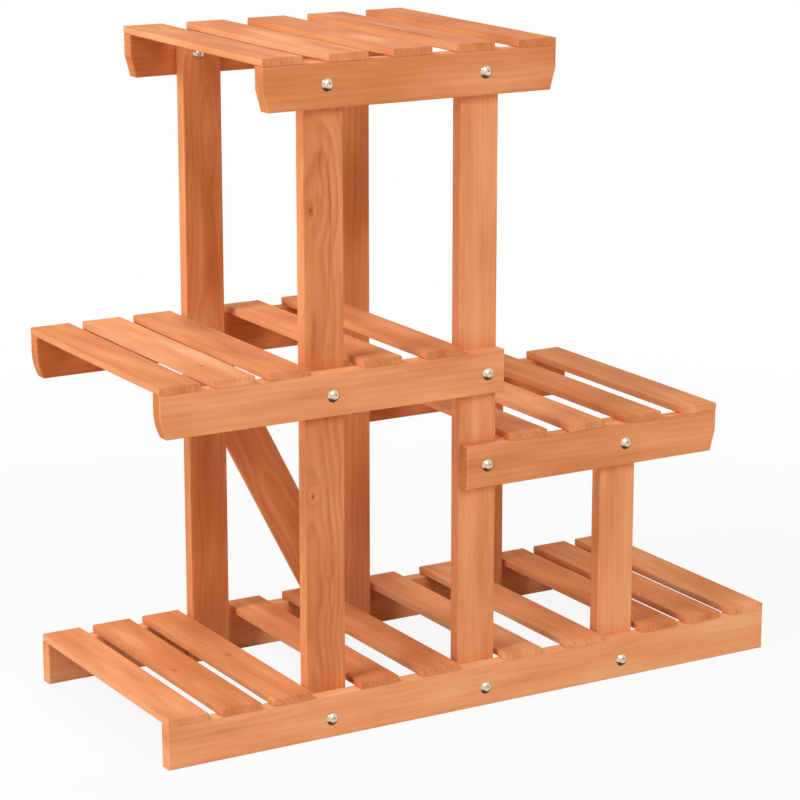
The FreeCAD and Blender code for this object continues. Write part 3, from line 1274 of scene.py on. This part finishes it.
@dataclass
class Studio:
    """The pale floor, the lamps, the surroundings and the camera.

    Args:
        eye: where the camera is, in metres.
        heading: how far it looks to the right of straight ahead, in radians.
        tilt: how far it looks down.
        lens: its focal length in millimetres.
        sight: how far it sees, in metres.
        floor_side: the length of the floor's side.
        floor_drop: how far the floor is below the stand's feet.
        floor_colour: how pale the floor is.
        floor_glow: how much of its look near the stand is plain white, without shadow.
        shadow_reach: how far from the middle the shadow starts to fade, and where it ends.
        ambient: the light from all round, as a colour.
        painted_dark_reflection: a dark colour that only glossy rays see below the horizon; a
            painted reflection that darkens the lower part of the plated heads.
        painted_reflection_edge: between which heights that changes into white.
        lamps: the lamps.
    """

    eye: tuple[float, float, float] = (-1.4745, -2.4877, 1.0194)
    heading: float = math.radians(30.533)
    tilt: float = math.radians(14.190)
    lens: float = 129.2
    sight: float = 100.0
    floor_side: float = 60.0
    floor_drop: float = 0.05 * MM
    floor_colour: float = 0.8
    floor_glow: float = 0.9
    shadow_reach: tuple[float, float] = (0.5, 1.6)
    ambient: tuple[float, float, float] = (0.29, 0.235, 0.165)
    painted_dark_reflection: tuple[float, float, float] = (0.10, 0.075, 0.055)
    painted_reflection_edge: tuple[float, float] = (-0.62, -0.5)
    lamps: tuple[Lamp, ...] = (
        Lamp("key_left", (-2.80, -0.39, 3.17), 1.0, 81.0),
        Lamp("fill_side", (-3.96, 0.0, 0.90), 1.6, 27.5),
        Lamp("fill_front", (0.0, -3.46, 2.34), 1.6, 63.0),
        Lamp("fill_back", (1.3, 2.9, 3.0), 1.8, 44.0),
    )

    def camera(self) -> None:
        """Sets the camera at the photograph's angle."""
        data = bpy.data.cameras.new("camera")
        data.lens = self.lens
        data.clip_end = self.sight
        camera = bpy.data.objects.new("camera", data)
        camera.location = self.eye
        camera.rotation_euler = (math.pi / 2 - self.tilt, 0.0, -self.heading)
        bpy.context.scene.collection.objects.link(camera)
        bpy.context.scene.camera = camera

    def floor(self) -> None:
        """Lays a pale floor that looks white and keeps a faint shadow."""
        half = self.floor_side / 2
        data = bpy.data.meshes.new("floor")
        outline = [(x, y, -self.floor_drop)
                   for x, y in ((-half, -half), (half, -half), (half, half), (-half, half))]
        data.from_pydata(outline, [], [(0, 1, 2, 3)])
        floor = bpy.data.objects.new("floor", data)
        bpy.context.scene.collection.objects.link(floor)
        nodes = Nodes(bpy.data.materials.new("pale_floor"))
        plain = nodes.add("BsdfDiffuse", {"Color": (self.floor_colour,) * 3 + (1.0,)})
        away = nodes.add("VectorMath", {0: nodes.add("TexCoord").outputs["Object"]},
                         operation="LENGTH").outputs["Value"]
        fade = nodes.ramp(away, *self.shadow_reach, self.floor_glow, 1.0)
        mixed = nodes.add("MixShader", {0: nodes.math("MULTIPLY", self.seen(nodes), fade),
                                        1: plain.outputs[0], 2: nodes.add("Emission").outputs[0]})
        data.materials.append(nodes.finish(mixed.outputs[0]))
        # Glossy rays pass through the floor, so the plating shows the painted dark reflection below
        # the horizon instead of the pale floor.
        floor.visible_glossy = False
        floor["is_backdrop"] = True

    @staticmethod
    def seen(nodes: Nodes) -> Socket:
        """Tells rays from the camera, or off or through a glossy surface, from the others.

        Args:
            nodes: the material's or world's nodes.

        Returns:
            1 for such a ray, and 0 for the others.
        """
        path = nodes.add("LightPath").outputs
        glossy = nodes.math("MAXIMUM", path["Is Glossy Ray"], path["Is Transmission Ray"])
        return nodes.math("MAXIMUM", path["Is Camera Ray"], glossy)

    def surroundings(self) -> None:
        """Makes the world: white where seen, softer as a light, and for glossy rays dark below the
        horizon, a painted reflection on the plating.
        """
        world = bpy.data.worlds.new("surroundings")
        nodes = Nodes(world)
        height = nodes.parts(nodes.add("TexCoord").outputs["Generated"])[2]
        # Painted reflection: glossy rays see a dark colour below the horizon, which darkens the
        # lower part of the plated heads.
        painted_reflection = nodes.blend(nodes.ramp(height, *self.painted_reflection_edge), self.painted_dark_reflection + (1.0,), WHITE)
        path = nodes.add("LightPath").outputs
        bright = nodes.blend(path["Is Glossy Ray"], WHITE, painted_reflection)
        colour = nodes.blend(self.seen(nodes), self.ambient + (1.0,), bright)
        background = nodes.add("Background", {"Color": colour})
        bpy.context.scene.world = nodes.finish(background.outputs[0], "OutputWorld")

    def build(self) -> None:
        """Builds all of the studio."""
        low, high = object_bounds()
        self.camera()
        self.floor()
        self.surroundings()
        for lamp in self.lamps:
            lamp.build((low + high) / 2)
        bpy.context.scene.view_settings.view_transform = "Standard"


def main() -> None:
    """Builds the looks of every sub-assembly in order."""
    logging.basicConfig(level=logging.INFO, format="%(name)s: %(message)s")
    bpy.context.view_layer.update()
    Studio().build()
    brad_finish = STAINED_STEEL.make("stained_brads")
    for shelf in (bottom_shelf(), left_shelf(), right_shelf(), top_shelf()):
        shelf.dress(brad_finish)
    uprights().dress()
    Hardware().build()


if __name__ == "__main__":
    main()
